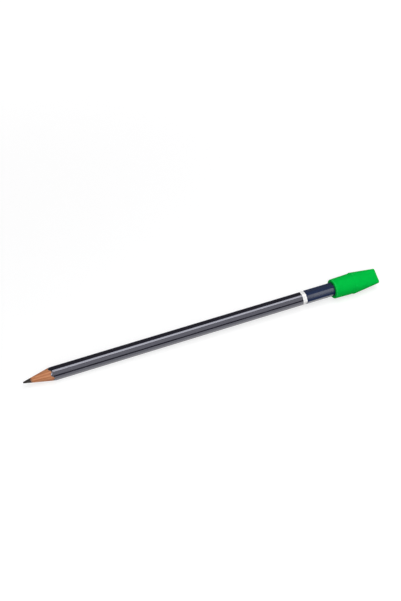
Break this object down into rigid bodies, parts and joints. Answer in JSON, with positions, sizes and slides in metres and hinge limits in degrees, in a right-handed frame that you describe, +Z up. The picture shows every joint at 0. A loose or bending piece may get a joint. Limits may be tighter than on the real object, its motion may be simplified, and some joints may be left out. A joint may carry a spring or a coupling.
{
  "type": "pencil with eraser topper",
  "caption": "Sharpened hexagonal wooden pencil with a painted ring and a dipped end, carrying a wedge-shaped rubber eraser topper that pulls off along the barrel.",
  "frame": {"origin": "on the pencil's axis, midway along the whole length, which is the centre of the bounding box", "axes": "+X along the pencil from its point towards the topper's chisel tip, +Z up with one facet of the hexagon facing straight down, as the pencil lies on a table"},
  "size_m": [0.189, 0.0118, 0.0116],
  "materials": {
    "graphite": "dark grey baked graphite and clay with a dull sheen",
    "wood": "bare reddish pencil wood, freshly cut on the cone",
    "lacquer": "glossy black lacquer",
    "ring_paint": "glossy white paint",
    "dip_paint": "dark blue dipped paint with a satin sheen",
    "eraser_rubber": "matte moulded rubber"
  },
  "bodies": {
    "pencil": {"graphite_core": "graphite", "upper_slat": "wood", "lower_slat": "wood", "lacquer_coat": "lacquer", "white_ring": "ring_paint", "end_dip": "dip_paint"},
    "topper": {"eraser_topper": "eraser_rubber"}
  },
  "joints": [
    {"name": "topper_slide", "type": "slide", "parent": "pencil", "child": "topper", "axis": [1, 0, 0], "range_m": [0, 0.02]}
  ]
}
